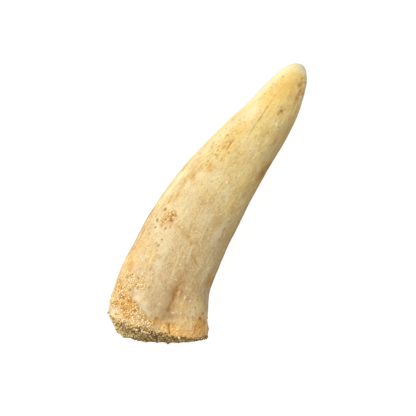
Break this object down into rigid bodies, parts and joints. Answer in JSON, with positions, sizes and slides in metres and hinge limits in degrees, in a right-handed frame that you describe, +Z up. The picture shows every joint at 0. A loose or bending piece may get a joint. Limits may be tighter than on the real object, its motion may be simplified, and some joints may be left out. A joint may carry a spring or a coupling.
{
  "type": "fossil fish tooth",
  "caption": "Curved, blunt-tipped fossil fish fang lying on its flank, keeled along the outer curve, with hard sand stuck in and around its broken base.",
  "frame": {"origin": "on the surface the fang lies on, under the middle of its box", "axes": "+X runs from the broken base to the tip, +Y towards the outside of the curve, and +Z up from the flank it lies on to the flank that faces the viewer"},
  "size_m": [0.0494, 0.0162, 0.0107],
  "materials": {
    "fossil_enamel": "cream to tan fossil enamel and dentine, satin, with fine lengthwise lines, small pits and orange iron stains",
    "hard_sand": "grey-brown cemented sand, rough and dull, with pale and dark grains"
  },
  "bodies": {
    "root": {"fang": "fossil_enamel", "sand_matrix": "hard_sand"}
  },
  "joints": []
}
